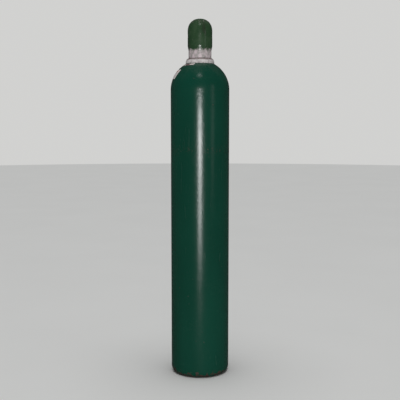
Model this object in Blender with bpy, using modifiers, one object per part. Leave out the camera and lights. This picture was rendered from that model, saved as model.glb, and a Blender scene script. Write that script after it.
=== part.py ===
"""H-size high-pressure oxygen cylinder with its valve and screw-on protection cap.

A seamless steel shell with a round shoulder carries a threaded neck ring. A brass needle-seat
valve screws into the neck: its handwheel turns a non-rising stem, whose tang turns and so lifts the
threaded seat plug. A domed steel cap screws onto the neck ring over the valve.

Sizes are in millimetres and become metres where a mesh is made. +Z is up, the shell stands on z = 0
with its axis on the Z axis, and the valve's outlet points to -Y.
"""

import math

import bmesh
import bpy
from mathutils import Matrix, Vector

MM = 0.001
GAP = 0.3  # clearance left between pieces that touch
MERGE = 0.00001  # metres; joins a turned piece's seam and its points on the axis

# Driving sizes
CYLINDER_RADIUS = 117.5
NECK_TOP = 1295.0  # height of the shell without its valve
CAP_TOP = 1430.0
SHOULDER_START = 1150.0  # where the straight wall ends
SHOULDER_RISE = 118.0
WALL = 5.8

# Shell
NECK_RADIUS = 34.2
NECK_FILLET_FOOT = 42.0
HEEL_RADIUS = 22.0
FOOT_INNER_RADIUS = 86.0
BASE_PUSH_UP = 18.0
BASE_THICKNESS = 12.0
INLET_BIG_RADIUS = 13.2  # taper thread of the valve at the neck's top
INLET_SMALL_RADIUS = 12.45
INLET_LENGTH = 24.0
TAPE_ROOM = 1.0  # radial room for the sealing tape and its clearances

# Neck ring and cap
RING_RADIUS = 56.8
RING_ROUNDING = 12.0  # how far in the collar rounds over to its ledge
RING_LIP = 4.5
RING_THREAD_RADIUS = 39.7
CAP_SEAT = NECK_TOP - 20.0  # the cap's rim stands here
CAP_RADIUS = 49.0
CAP_SKIRT_RADIUS = 45.5
CAP_WALL = 4.7
CAP_DOME_RISE = 51.0
CAP_DOME_POWER = 2.25  # 2 would be an ellipse; a little more is a fuller dome
VENT_RADIUS = 9.5
VENT_HEIGHT = 1362.0

# Valve, with heights above the neck's top
HEX_BOTTOM = 2.0
HEX_TOP = 17.0
COLUMN_RADIUS = 16.0
COLUMN_TOP = 52.0
SPIGOT_RADIUS = 11.0
SPIGOT_TOP = 62.0
CHAMBER_RADIUS = 8.0
SEAT_HEIGHT = 24.0
PASSAGE_RADIUS = 3.2
OUTLET_HEIGHT = 32.0
OUTLET_FACE = 34.0  # from the valve's axis
OUTLET_THREAD_RADIUS = 11.45
OUTLET_THREAD_START = 17.0
OUTLET_SOCKET_RADIUS = 6.6
SAFETY_HEIGHT = 13.0
SAFETY_BOSS_RADIUS = 9.0
SAFETY_FACE = 24.0
SAFETY_BORE_RADIUS = 6.8
SAFETY_BORE_START = 13.0
STEM_RADIUS = 4.5
STEM_TOP = 95.0
WHEEL_RADIUS = 32.0
WHEEL_BOTTOM = 69.5
WHEEL_LOBES = 5

SHELL_SIDES = 48
CAP_SIDES = 32
SMALL_SIDES = 24


# ---------------------------------------------------------------- tools


def new_collection(name, parent, helper=False):
    made = bpy.data.collections.new(name)
    parent.children.link(made)
    made.hide_render = helper
    return made


def paint(name, colour, roughness, metallic):
    """A plain Principled material."""
    made = bpy.data.materials.new(name)
    made.use_nodes = True
    shader = made.node_tree.nodes["Principled BSDF"]
    shader.inputs["Base Color"].default_value = (*colour, 1.0)
    shader.inputs["Roughness"].default_value = roughness
    shader.inputs["Metallic"].default_value = metallic
    return made


def place(name, mesh, material, parent, helper=False):
    """An object of this mesh under an empty. A helper is a cutter or a piece to join, and isn't a part."""
    made = bpy.data.objects.new(name, mesh)
    made.parent = parent
    if helper:
        cutters.objects.link(made)
        made.hide_render = True
        made.display_type = "WIRE"
    else:
        parts.objects.link(made)
        mesh.materials.append(material)
    return made


def empty(name, height=0.0, parent=None, direction=None):
    """A local frame on the cylinder's axis. With a direction, its +Z points that way."""
    made = bpy.data.objects.new(name, None)
    parts.objects.link(made)
    made.parent = parent
    made.location = (0.0, 0.0, height * MM)
    if direction is not None:
        made.rotation_euler = Vector(direction).to_track_quat("Z", "Y").to_euler()
    return made


def arc(centre, radii, start, end, steps):
    """Points of an elliptical arc in a turned profile, from one angle to another, in degrees from +X."""
    turns = [math.radians(start + (end - start) * i / steps) for i in range(steps + 1)]
    return [(centre[0] + radii[0] * math.cos(t), centre[1] + radii[1] * math.sin(t)) for t in turns]


def turned(name, profile, material, parent, sides=SMALL_SIDES, helper=False):
    """A turned piece. The profile is (radius, height) points that run down the outer side. One that
    starts and ends on the axis makes a solid, and any other is closed into a ring."""
    mesh = bpy.data.meshes.new(name)
    count = len(profile)
    edges = [(i, i + 1) for i in range(count - 1)]
    if profile[0][0] > 0.0 or profile[-1][0] > 0.0:
        edges.append((count - 1, 0))
    mesh.from_pydata([(r * MM, 0.0, z * MM) for r, z in profile], edges, [])
    made = place(name, mesh, material, parent, helper)
    screw = made.modifiers.new("Turn", "SCREW")
    screw.axis = "Z"
    screw.steps = screw.render_steps = sides
    screw.use_merge_vertices = True
    screw.merge_threshold = MERGE
    screw.use_smooth_shade = True
    return made


def ring(name, inner, outer, bottom, top, material, parent, sides=SMALL_SIDES, helper=False):
    """A plain washer or sleeve."""
    profile = [(outer, top), (outer, bottom), (inner, bottom), (inner, top)]
    return turned(name, profile, material, parent, sides, helper)


def rod(name, radius, bottom, top, parent, sides=SMALL_SIDES, material=None):
    """A plain round bar, used as a cutter or joined to a piece unless it has a material."""
    profile = [(0.0, top), (radius, top), (radius, bottom), (0.0, bottom)]
    return turned(name, profile, material, parent, sides, helper=material is None)


def prism(name, flats, across, bottom, top, parent, material=None):
    """A bar with this many flats, which is a helper unless it has a material."""
    mesh = bpy.data.meshes.new(name)
    made = bmesh.new()
    radius = across / 2 / math.cos(math.pi / flats)
    middle = Matrix.Translation((0.0, 0.0, (bottom + top) / 2 * MM))
    bmesh.ops.create_cone(
        made,
        cap_ends=True,
        segments=flats,
        radius1=radius * MM,
        radius2=radius * MM,
        depth=(top - bottom) * MM,
        matrix=middle,
    )
    made.to_mesh(mesh)
    made.free()
    return place(name, mesh, material, parent, helper=material is None)


def block(name, size, centre, parent):
    """A box that is cut from a piece or joined to it."""
    mesh = bpy.data.meshes.new(name)
    made = bmesh.new()
    shape = Matrix.Translation(Vector(centre) * MM) @ Matrix.Diagonal((*(Vector(size) * MM), 1.0))
    bmesh.ops.create_cube(made, size=1.0, matrix=shape)
    made.to_mesh(mesh)
    made.free()
    return place(name, mesh, None, parent, helper=True)


def combine(piece, operation, *others):
    """Boolean modifiers on piece, one for each other object."""
    for other in others:
        step = piece.modifiers.new(f"{operation.title()} {other.name}", "BOOLEAN")
        step.operation = operation
        step.solver = "EXACT"
        step.object = other
    return piece


def thread(radius, depth, pitch, start, turns):
    """The grooves of an outside thread as rings, from start down: crest, root, crest for each turn."""
    points = []
    for turn in range(turns):
        top = start - turn * pitch
        points += [(radius, top), (radius - depth, top - pitch * 0.5)]
    points.append((radius, start - turns * pitch))
    return points


# ---------------------------------------------------------------- scene

for old in list(bpy.data.objects):
    bpy.data.objects.remove(old, do_unlink=True)
parts = new_collection("oxygen_cylinder", bpy.context.scene.collection)
cutters = new_collection("cutters", bpy.context.scene.collection, helper=True)

body_green = paint("body_paint", (0.012, 0.065, 0.042), 0.3, 0.0)
cap_green = paint("cap_paint", (0.045, 0.105, 0.042), 0.3, 0.0)
pale_metal = paint("neck_metal", (0.46, 0.43, 0.43), 0.45, 0.4)
brass = paint("brass", (0.62, 0.43, 0.17), 0.3, 1.0)
steel = paint("steel", (0.55, 0.55, 0.56), 0.3, 1.0)
cast_metal = paint("cast_aluminium", (0.6, 0.6, 0.61), 0.45, 1.0)
copper = paint("copper", (0.72, 0.36, 0.22), 0.35, 1.0)
white_plastic = paint("white_plastic", (0.8, 0.8, 0.78), 0.5, 0.0)
paper = paint("label", (0.78, 0.75, 0.72), 0.45, 0.0)

shell_frame = empty("shell_frame")
cap_frame = empty("cap_frame", CAP_SEAT, shell_frame)
valve_frame = empty("valve_frame", NECK_TOP, shell_frame)
spindle_frame = empty("spindle_frame", 0.0, valve_frame)
plug_frame = empty("plug_frame", 0.0, spindle_frame)
outlet_frame = empty("outlet_frame", OUTLET_HEIGHT, valve_frame, (0, -1, 0))
safety_frame = empty("safety_frame", SAFETY_HEIGHT, valve_frame, (0, 1, 0))


# ---------------------------------------------------------------- shell


def shoulder_angle(radius):
    """The angle on the shoulder's ellipse at which it has this radius, in degrees."""
    return math.degrees(math.acos(radius / CYLINDER_RADIUS))


def shoulder_height(radius):
    return SHOULDER_START + SHOULDER_RISE * math.sin(math.radians(shoulder_angle(radius)))


def shell_profile():
    """From the middle of the inside, up the inner wall, over the neck, and down the outside to the
    middle of the pushed-up base."""
    inner_radius = CYLINDER_RADIUS - WALL
    inner_rise = SHOULDER_RISE - 2.0 * WALL
    bore = INLET_BIG_RADIUS + TAPE_ROOM
    small_bore = INLET_SMALL_RADIUS + TAPE_ROOM
    floor = BASE_PUSH_UP + BASE_THICKNESS
    foot = NECK_FILLET_FOOT
    points = [(0.0, floor), (40.0, floor - 3.0), (72.0, floor - 11.0)]
    points += arc((82.0, floor + 12.0), (inner_radius - 82.0, 23.0), -70, 0, 3)
    points += arc((0.0, SHOULDER_START), (inner_radius, inner_rise), 0, 74, 5)
    points += [(small_bore + 3.0, SHOULDER_START + inner_rise), (small_bore, NECK_TOP - 34.0)]
    points += [(small_bore, NECK_TOP - INLET_LENGTH), (bore, NECK_TOP - 1.2), (bore + 1.2, NECK_TOP)]
    points += [(NECK_RADIUS - 1.5, NECK_TOP), (NECK_RADIUS, NECK_TOP - 1.5)]
    points += arc((foot, shoulder_height(foot) + 9.0), (foot - NECK_RADIUS, 9.0), 180, 255, 3)
    points += arc(
        (0.0, SHOULDER_START), (CYLINDER_RADIUS, SHOULDER_RISE), shoulder_angle(foot + 2.0), 0, 10
    )
    heel = (CYLINDER_RADIUS - HEEL_RADIUS, HEEL_RADIUS)
    points += arc(heel, (HEEL_RADIUS, HEEL_RADIUS), 0, -90, 4)
    points += [(FOOT_INNER_RADIUS, 0.0), (FOOT_INNER_RADIUS - 6.0, 3.0), (62.0, 10.5), (32.0, 16.2)]
    points.append((0.0, BASE_PUSH_UP))
    return points


turned("cylinder_shell", shell_profile(), body_green, shell_frame, SHELL_SIDES)


# ---------------------------------------------------------------- neck ring


def neck_ring_profile():
    """A threaded collar with a rounded foot that follows the shoulder."""
    ledge = CAP_SEAT - GAP
    inner = NECK_RADIUS + 1.5 * GAP
    root = RING_THREAD_RADIUS - 1.4
    points = [(RING_THREAD_RADIUS - 1.4, NECK_TOP - 2.0)]
    points += thread(RING_THREAD_RADIUS, 1.3, 4.2, NECK_TOP - 3.4, 3)
    points += [(root, ledge + 1.0), (root, ledge)]
    lip_top = shoulder_height(RING_RADIUS) + RING_LIP
    rounding = (RING_RADIUS - RING_ROUNDING, lip_top)
    points += arc(rounding, (RING_ROUNDING, ledge - lip_top), 88, 0, 4)
    under = [RING_RADIUS, 52.0, 47.0, NECK_FILLET_FOOT + 2.0]
    points += [(radius, shoulder_height(radius) + 2 * GAP) for radius in under]
    points += [(inner, shoulder_height(inner) + 12.0), (inner, NECK_TOP - 2.0)]
    return points


turned("neck_ring", neck_ring_profile(), pale_metal, shell_frame, CAP_SIDES)


# ---------------------------------------------------------------- protection cap


def dome(radius, rise, top, steps):
    """A full dome from the axis out to its widest ring."""
    points = []
    for i in range(steps + 1):
        turn = math.pi / 2 * i / steps
        across = radius * math.sin(turn) ** (2 / CAP_DOME_POWER)
        up = rise * math.cos(turn) ** (2 / CAP_DOME_POWER)
        points.append((across if i else 0.0, top - rise + (up if i < steps else 0.0)))
    return points


def cap_profile():
    """Heights are above the cap's rim. The outside comes down to the rim and the inside goes back up."""
    top = CAP_TOP - CAP_SEAT
    inner = CAP_RADIUS - CAP_WALL
    thread_crest = RING_THREAD_RADIUS + 0.5
    points = dome(CAP_RADIUS, CAP_DOME_RISE, top, 8)
    points += [(CAP_RADIUS, 50.0), (CAP_RADIUS - 0.5, 44.5), (CAP_SKIRT_RADIUS + 1.7, 38.5)]
    points += [(CAP_SKIRT_RADIUS + 0.4, 32.5), (CAP_SKIRT_RADIUS, 27.0)]
    points += [(CAP_SKIRT_RADIUS, 1.2), (CAP_SKIRT_RADIUS - 1.2, 0.0)]
    points += [(thread_crest + 1.2, 0.0), (thread_crest, 1.2)]
    for turn in range(2):
        low = 4.0 + turn * 7.0
        points += [(thread_crest, low), (thread_crest + 1.3, low + 1.3), (thread_crest, low + 2.6)]
    points += [(thread_crest, 20.0), (thread_crest + 0.5, 28.0), (inner - 1.0, 42.0)]
    points += [(inner, 50.0)]
    points += dome(inner, CAP_DOME_RISE - CAP_WALL, top - CAP_WALL, 7)[::-1]
    return points


cap = turned("protection_cap", cap_profile(), cap_green, cap_frame, CAP_SIDES)
vent_frame = empty("vent_frame", VENT_HEIGHT - CAP_SEAT, cap_frame, (1, 0, 0))
combine(
    cap,
    "DIFFERENCE",
    rod("vent_cutter_right", VENT_RADIUS, 20.0, 60.0, vent_frame, 16),
    rod("vent_cutter_left", VENT_RADIUS, -60.0, -20.0, vent_frame, 16),
)


# ---------------------------------------------------------------- labels

LABEL_OFF = 0.55  # the film's middle above the steel; the steel's flat facets lie inside its circle
LABEL_THICKNESS = 0.4


def shoulder_film(name, azimuth, middle_radius, width, height, tilt, cells):
    """A film stuck to the shoulder: a flat sheet whose points are laid on the shoulder's ellipse. The
    azimuth is from the front (-Y), positive to +X, and the tilt turns the sheet in its own plane."""
    made = bmesh.new()
    bmesh.ops.create_grid(made, x_segments=cells[0], y_segments=cells[1], size=0.5)
    turn = math.radians(tilt)
    middle = math.radians(shoulder_angle(middle_radius))
    mean_radius = (CYLINDER_RADIUS + SHOULDER_RISE) / 2
    for point in made.verts:
        across, up = point.co.x * width, point.co.y * height
        along = across * math.cos(turn) - up * math.sin(turn)
        rise = middle + (across * math.sin(turn) + up * math.cos(turn)) / mean_radius
        steel_radius = CYLINDER_RADIUS * math.cos(rise)
        out = Vector((math.cos(rise) / CYLINDER_RADIUS, math.sin(rise) / SHOULDER_RISE)).normalized()
        around = math.radians(azimuth) + along / steel_radius
        radius = steel_radius + LABEL_OFF * out.x
        level = SHOULDER_START + SHOULDER_RISE * math.sin(rise) + LABEL_OFF * out.y
        point.co = Vector((radius * math.sin(around), -radius * math.cos(around), level)) * MM
    bmesh.ops.recalc_face_normals(made, faces=made.faces)
    mesh = bpy.data.meshes.new(name)
    made.to_mesh(mesh)
    made.free()
    film = place(name, mesh, paper, shell_frame)
    skin = film.modifiers.new("Thickness", "SOLIDIFY")
    skin.thickness = LABEL_THICKNESS * MM
    skin.offset = 0.0
    return film


shoulder_film("contents_label", -97.0, 99.0, 110.0, 43.0, -3.0, (12, 4))
shoulder_film("batch_strip", -52.0, 65.5, 62.0, 10.5, 5.0, (8, 2))


# ---------------------------------------------------------------- valve body


def inlet_taper(extra=0.0):
    """The taper of the inlet, from the neck's top down."""
    return [(INLET_BIG_RADIUS + extra, 0.0), (INLET_SMALL_RADIUS + extra, -INLET_LENGTH)]


def valve_body():
    """A brass forging: column, hexagon, outlet and safety boss joined, then bored out."""
    outside = [(0.0, SPIGOT_TOP), (SPIGOT_RADIUS - 1.0, SPIGOT_TOP), (SPIGOT_RADIUS, SPIGOT_TOP - 1.0)]
    outside += [(SPIGOT_RADIUS, COLUMN_TOP), (COLUMN_RADIUS - 1.5, COLUMN_TOP)]
    outside += [(COLUMN_RADIUS, COLUMN_TOP - 1.5), (COLUMN_RADIUS, HEX_BOTTOM + 1.0)]
    outside += [(INLET_BIG_RADIUS + 0.1, HEX_BOTTOM + 1.0), *inlet_taper()]
    outside += [(INLET_SMALL_RADIUS - 1.5, -INLET_LENGTH - 1.0), (0.0, -INLET_LENGTH - 1.0)]
    body = turned("valve_body", outside, brass, valve_frame)

    hexagon = prism("hexagon", 6, 34.0, HEX_BOTTOM, HEX_TOP, valve_frame)
    mouth = OUTLET_THREAD_RADIUS
    boss = [(0.0, OUTLET_FACE), (mouth - 1.5, OUTLET_FACE), (mouth, OUTLET_FACE - 1.5)]
    boss += thread(mouth, 1.1, 4.2, OUTLET_FACE - 2.3, 3)
    boss += [(mouth - 1.1, OUTLET_THREAD_START), (mouth + 1.35, OUTLET_THREAD_START - 1.0)]
    boss += [(mouth + 1.35, 2.0), (0.0, 2.0)]
    outlet = turned("outlet_boss", boss, None, outlet_frame, helper=True)
    safety = rod("safety_boss", SAFETY_BOSS_RADIUS, 2.0, SAFETY_FACE, safety_frame)
    combine(body, "UNION", hexagon, outlet, safety)

    chamber = [(0.0, SPIGOT_TOP + 5.0), (CHAMBER_RADIUS, SPIGOT_TOP + 5.0)]
    chamber += [(CHAMBER_RADIUS, SEAT_HEIGHT - 1.5), (5.6, SEAT_HEIGHT - 1.5), (5.0, SEAT_HEIGHT)]
    chamber += [(PASSAGE_RADIUS, SEAT_HEIGHT), (PASSAGE_RADIUS, -40.0), (0.0, -40.0)]
    socket = [(0.0, OUTLET_FACE + 5.0), (OUTLET_SOCKET_RADIUS, OUTLET_FACE + 5.0)]
    socket += [(OUTLET_SOCKET_RADIUS, 23.0), (PASSAGE_RADIUS, 20.0), (PASSAGE_RADIUS, 5.0), (0.0, 5.0)]
    relief = [(0.0, SAFETY_FACE + 5.0), (SAFETY_BORE_RADIUS, SAFETY_FACE + 5.0)]
    relief += [(SAFETY_BORE_RADIUS, SAFETY_BORE_START), (2.0, SAFETY_BORE_START), (2.0, 1.0), (0.0, 1.0)]
    combine(
        body,
        "DIFFERENCE",
        turned("chamber_cutter", chamber, None, valve_frame, helper=True),
        turned("socket_cutter", socket, None, outlet_frame, 20, helper=True),
        turned("relief_cutter", relief, None, safety_frame, 20, helper=True),
    )


def inlet_tape():
    """PTFE tape wound on the inlet thread; its top edge shows above the neck."""
    low, high = inlet_taper(GAP)
    outer = [(low[0] + 0.4, 1.2), (low[0] + 0.4, 0.0), (high[0] + 0.4, high[1] + 1.0)]
    inner = [(high[0], high[1] + 1.0), (low[0], 0.0), (low[0], 1.2)]
    turned("inlet_tape", outer + inner, white_plastic, valve_frame)


valve_body()
inlet_tape()


# ---------------------------------------------------------------- stem, seat and bonnet


def upper_stem():
    """A collar held under the packing, a square for the wheel, a threaded end, and a tang below."""
    collar = [(7.2, 53.5), (7.2, 50.5)]
    shoulder = WHEEL_BOTTOM - GAP
    profile = [(0.0, STEM_TOP), (2.4, STEM_TOP), (2.9, STEM_TOP - 0.5), (2.9, shoulder)]
    profile.append((STEM_RADIUS, shoulder))
    profile += [(STEM_RADIUS, 53.5), *collar, (0.0, 50.5)]
    stem = turned("upper_stem", profile, brass, spindle_frame)
    square = prism("stem_square", 4, 6.36, shoulder - 1.0, 79.0, spindle_frame)
    tang = block("stem_tang", (11.0, 2.6, 11.5), (0.0, 0.0, 45.75), spindle_frame)
    combine(stem, "UNION", square, tang)


def seat_plug():
    """The screwed lower plug, slotted for the stem's tang, with a pocket for the soft seat."""
    profile = [(0.0, 45.0), (6.9, 45.0), (7.4, 44.5), (7.4, 35.0), (6.2, 34.0), (6.2, 26.5)]
    profile += [(5.7, 26.0), (4.7, 26.0), (4.7, 28.3), (0.0, 28.3)]
    plug = turned("seat_plug", profile, brass, plug_frame)
    slot = block("tang_slot", (20.0, 3.4, 12.0), (0.0, 0.0, 41.0), plug_frame)
    combine(plug, "DIFFERENCE", slot)
    rod("seat_insert", 4.4, SEAT_HEIGHT + GAP, 28.0, plug_frame, material=white_plastic)


def bonnet_nut():
    """A hexagon nut that screws over the body's spigot and holds the packing down."""
    bottom, top = COLUMN_TOP + GAP, 68.0
    nut = prism("bonnet_nut", 6, 27.0, bottom, top, valve_frame, brass)
    envelope = [(0.0, top + 0.1), (13.0, top + 0.1), (15.9, top - 1.6), (15.9, bottom - 0.1)]
    envelope.append((0.0, bottom - 0.1))
    combine(nut, "INTERSECT", turned("nut_envelope", envelope, None, valve_frame, helper=True))
    bore = [(0.0, top + 5.0), (STEM_RADIUS + 0.4, top + 5.0), (STEM_RADIUS + 0.4, SPIGOT_TOP + 0.7)]
    bore += [(SPIGOT_RADIUS + 0.4, SPIGOT_TOP + 0.7), (SPIGOT_RADIUS + 0.4, bottom - 5.0)]
    bore.append((0.0, bottom - 5.0))
    combine(nut, "DIFFERENCE", turned("bonnet_cutter", bore, None, valve_frame, helper=True))


upper_stem()
seat_plug()
bonnet_nut()
ring("thrust_washer", 4.9, 7.6, 53.8, 54.8, brass, valve_frame)
ring("stem_packing", 4.9, 7.6, 55.1, 59.1, white_plastic, valve_frame)
ring("gland_ring", 4.9, 7.6, 59.4, 62.4, brass, valve_frame)


# ---------------------------------------------------------------- handwheel


def handwheel():
    """A cast wheel: hub with a square hole and a spring recess, dished web, rim with finger scallops."""
    hub, recess_floor, hub_top = 9.5, 78.5, 86.0
    profile = [(8.5, hub_top), (hub, hub_top - 1.0), (hub, 81.5), (11.0, 80.5), (25.5, 80.5)]
    profile += arc((28.0, 79.5), (WHEEL_RADIUS - 28.0, 5.0), 125, -125, 6)
    profile += [(25.0, 76.0), (11.5, 76.0), (hub, 74.5), (hub, WHEEL_BOTTOM + 1.0)]
    profile += [(hub - 1.0, WHEEL_BOTTOM), (2.0, WHEEL_BOTTOM), (2.0, recess_floor)]
    profile += [(7.6, recess_floor), (7.6, hub_top)]
    wheel = turned("handwheel", profile, cast_metal, spindle_frame, CAP_SIDES)
    cuts = [prism("wheel_square", 4, 7.0, WHEEL_BOTTOM - 2.0, recess_floor + 1.0, spindle_frame)]
    for i in range(WHEEL_LOBES):
        turn = 2 * math.pi * i / WHEEL_LOBES
        window = rod(f"window_cutter_{i}", 5.4, 70.0, 84.0, spindle_frame, 12)
        window.location = (18.2 * MM * math.cos(turn), 18.2 * MM * math.sin(turn), 0.0)
        middle = turn + math.pi / WHEEL_LOBES
        scallop = rod(f"scallop_cutter_{i}", 12.0, 70.0, 90.0, spindle_frame, 20)
        scallop.location = (41.0 * MM * math.cos(middle), 41.0 * MM * math.sin(middle), 0.0)
        cuts += [window, scallop]
    combine(wheel, "DIFFERENCE", *cuts)


def wheel_spring():
    """A short compression spring in the hub's recess, as a wire curve."""
    wire, mean_radius, low, high, turns, points_a_turn = 0.65, 5.8, 79.6, 85.4, 3.5, 12
    count = round(turns * points_a_turn)
    curve = bpy.data.curves.new("wheel_spring", "CURVE")
    curve.dimensions = "3D"
    curve.bevel_depth = wire * MM
    curve.bevel_resolution = 2
    curve.use_fill_caps = True
    spline = curve.splines.new("POLY")
    spline.points.add(count)
    for i, point in enumerate(spline.points):
        turn = 2 * math.pi * i / points_a_turn
        level = low + (high - low) * i / count
        place_mm = (mean_radius * math.cos(turn), mean_radius * math.sin(turn), level)
        point.co = (*(Vector(place_mm) * MM), 1.0)
    place("wheel_spring", curve, steel, spindle_frame)


def wheel_nut():
    """The nut that holds wheel and spring on the stem."""
    nut = prism("wheel_nut", 6, 10.0, 88.0, 93.0, spindle_frame, steel)
    combine(nut, "DIFFERENCE", rod("nut_cutter", 3.25, 80.0, 100.0, spindle_frame, 16))


handwheel()
wheel_spring()
ring("spring_washer", 3.3, 8.6, 86.5, 87.7, steel, spindle_frame)
wheel_nut()


# ---------------------------------------------------------------- pressure relief


def safety_plug():
    """A hexagon plug that clamps the burst disc; its blind bore vents through cross holes."""
    shank = SAFETY_BORE_RADIUS - 0.4
    plug = rod("safety_plug", shank, 15.3, 26.0, safety_frame, material=brass)
    head = prism("safety_head", 6, 15.0, SAFETY_FACE + GAP, 31.0, safety_frame)
    combine(plug, "UNION", head)
    across = empty("cross_hole_frame", 27.6, safety_frame, (1, 0, 0))
    combine(
        plug,
        "DIFFERENCE",
        rod("vent_bore", 2.5, 10.0, 28.6, safety_frame, 16),
        rod("cross_hole", 1.3, -12.0, 12.0, across, 12),
    )


ring("disc_gasket", 2.6, 6.4, SAFETY_BORE_START + GAP, 14.3, copper, safety_frame)
rod("burst_disc", 6.4, 14.6, 15.0, safety_frame, material=copper)
safety_plug()
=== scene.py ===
"""An oxygen cylinder's finished surfaces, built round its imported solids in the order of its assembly."""

import math

import bmesh
import bpy
from mathutils import Matrix, Vector


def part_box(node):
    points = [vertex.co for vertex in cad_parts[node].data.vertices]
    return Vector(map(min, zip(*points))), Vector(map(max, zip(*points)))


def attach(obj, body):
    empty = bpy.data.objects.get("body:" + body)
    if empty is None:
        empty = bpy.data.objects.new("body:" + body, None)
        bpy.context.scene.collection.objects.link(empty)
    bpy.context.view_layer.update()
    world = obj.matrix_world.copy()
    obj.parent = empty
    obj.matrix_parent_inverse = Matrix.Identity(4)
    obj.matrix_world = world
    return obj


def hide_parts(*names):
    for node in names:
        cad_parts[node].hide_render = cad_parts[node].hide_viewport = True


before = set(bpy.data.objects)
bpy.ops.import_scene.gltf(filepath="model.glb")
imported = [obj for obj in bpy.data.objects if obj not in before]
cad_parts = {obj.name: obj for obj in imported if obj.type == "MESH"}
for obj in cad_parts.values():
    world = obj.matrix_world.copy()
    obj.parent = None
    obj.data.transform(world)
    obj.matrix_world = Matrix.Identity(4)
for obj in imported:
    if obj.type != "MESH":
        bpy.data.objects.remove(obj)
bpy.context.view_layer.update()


# ---------------------------------------------------------------- steel shell
# The pressure vessel: a seamless steel tube, spun closed to a round shoulder and a thick neck, with its
# base pushed up so that it stands on a ring. Sprayed with dark green gloss enamel, which has orange
# peel, rub marks from racks and neighbours, and chips round the heel.

MM = 0.001
shell_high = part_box("cylinder_shell")[1]
SHELL_RADIUS = shell_high.x / MM
NECK_TOP = shell_high.z / MM
SHOULDER_START = 1150.0
SHOULDER_RISE = 118.0
SHELL_WALL = 5.8
NECK_RADIUS = 34.2
HEEL_RADIUS = 22.0
SHELL_GREEN = (0.0020, 0.050, 0.0300, 1.0)
SHELL_GREEN_FADED = (0.0034, 0.062, 0.0380, 1.0)
DUST_GREY = (0.20, 0.19, 0.165, 1.0)
PRIMER_BROWN = (0.055, 0.035, 0.026, 1.0)
FACED_STEEL = (0.21, 0.20, 0.19, 1.0)
RUBBED_GREEN = (0.03, 0.075, 0.055, 1.0)
SWELL_HEIGHT = 105.0
SWELL_REACH = 20.0
SWELL_DEPTH = 0.18
WAVE_RUN = 61.0
WAVE_DEPTH = 0.03
WALL_ALLOWANCE = 0.22  # keeps the swell and the waves inside the shell's full radius
HEEL_CHIPS = 4.0  # height of the middle of the worn band, as the next
RACK_RUBS = 915.0
SHARP_DEGREES = 32.0  # edges that turn more than this stay crisp


def arc(centre, radii, start, end, steps):
    """(radius, height) points on an elliptical arc between two angles, in degrees from straight outwards."""
    turns = [math.radians(start + (end - start) * i / steps) for i in range(steps + 1)]
    return [(centre[0] + radii[0] * math.cos(t), centre[1] + radii[1] * math.sin(t)) for t in turns]


def finish_mesh(name, made, sharp_degrees=SHARP_DEGREES):
    """An object of this bmesh, shaded smooth but for its real edges."""
    bmesh.ops.recalc_face_normals(made, faces=made.faces)
    mesh = bpy.data.meshes.new(name)
    made.to_mesh(mesh)
    made.free()
    mesh.polygons.foreach_set("use_smooth", [True] * len(mesh.polygons))
    mesh.set_sharp_from_angle(angle=math.radians(sharp_degrees))
    piece = bpy.data.objects.new(name, mesh)
    bpy.context.scene.collection.objects.link(piece)
    return piece


def lathe(name, profile, sides=96, shape=None, at=None):
    """A turned piece from (radius, height) points in millimetres. A profile that starts and ends on the
    axis makes a solid, and any other a ring. shape(radius, height, turn) may change each point's radius."""
    made = bmesh.new()
    rows = []
    for radius, height in profile:
        if radius < 1e-6:
            rows.append([made.verts.new((0.0, 0.0, height * MM))])
            continue
        row = []
        for i in range(sides):
            turn = 2 * math.pi * i / sides
            out = (shape(radius, height, turn) if shape else radius) * MM
            row.append(made.verts.new((out * math.cos(turn), out * math.sin(turn), height * MM)))
        rows.append(row)
    pairs = list(zip(rows, rows[1:]))
    if len(rows[0]) > 1 and len(rows[-1]) > 1:
        pairs.append((rows[-1], rows[0]))
    for upper, lower in pairs:
        for i in range(sides):
            j = (i + 1) % sides
            corners = [upper[i % len(upper)], lower[i % len(lower)]]
            corners += [lower[j % len(lower)], upper[j % len(upper)]]
            made.faces.new(list(dict.fromkeys(corners)))
    if at is not None:
        bmesh.ops.transform(made, matrix=at, verts=made.verts)
    return finish_mesh(name, made)


def new_group(name, result, **numbers):
    """An empty shader node group with these numbers as inputs and one number as its result. Gives the
    group, the sockets inside it that hold its inputs, and the one that takes its result."""
    group = bpy.data.node_groups.new(name, "ShaderNodeTree")
    for key, value in numbers.items():
        socket = group.interface.new_socket(name=key, in_out="INPUT", socket_type="NodeSocketFloat")
        socket.default_value = value
    group.interface.new_socket(name=result, in_out="OUTPUT", socket_type="NodeSocketFloat")
    given = group.nodes.new("NodeGroupInput")
    out = group.nodes.new("NodeGroupOutput")
    return group, given.outputs, out.inputs[result]


def node(tree, kind, values=None, **settings):
    """A node with its settings, and with its inputs set to values or linked from output sockets."""
    made = tree.nodes.new(kind)
    for key, value in settings.items():
        setattr(made, key, value)
    for key, value in (values or {}).items():
        if isinstance(value, bpy.types.NodeSocket):
            tree.links.new(value, made.inputs[key])
        else:
            made.inputs[key].default_value = value
    return made


def sums(tree, operation, *values, clamp=False):
    """The output of a Math node."""
    made = node(tree, "ShaderNodeMath", dict(enumerate(values)), operation=operation, use_clamp=clamp)
    return made.outputs[0]


def ramped(tree, value, low, high):
    """0 below low, 1 above high, and a smooth step between them."""
    spread = {"Value": value, "From Min": low, "From Max": high}
    made = node(tree, "ShaderNodeMapRange", spread, interpolation_type="SMOOTHSTEP", clamp=True)
    return made.outputs["Result"]


def mixed(tree, mask, under, over):
    """The colour over laid on the colour under by the mask."""
    made = node(tree, "ShaderNodeMix", {0: mask, 6: under, 7: over}, data_type="RGBA")
    return made.outputs[2]


def in_place(tree):
    """Coordinates fixed to the piece, in metres."""
    return node(tree, "ShaderNodeTexCoord").outputs["Object"]


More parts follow.
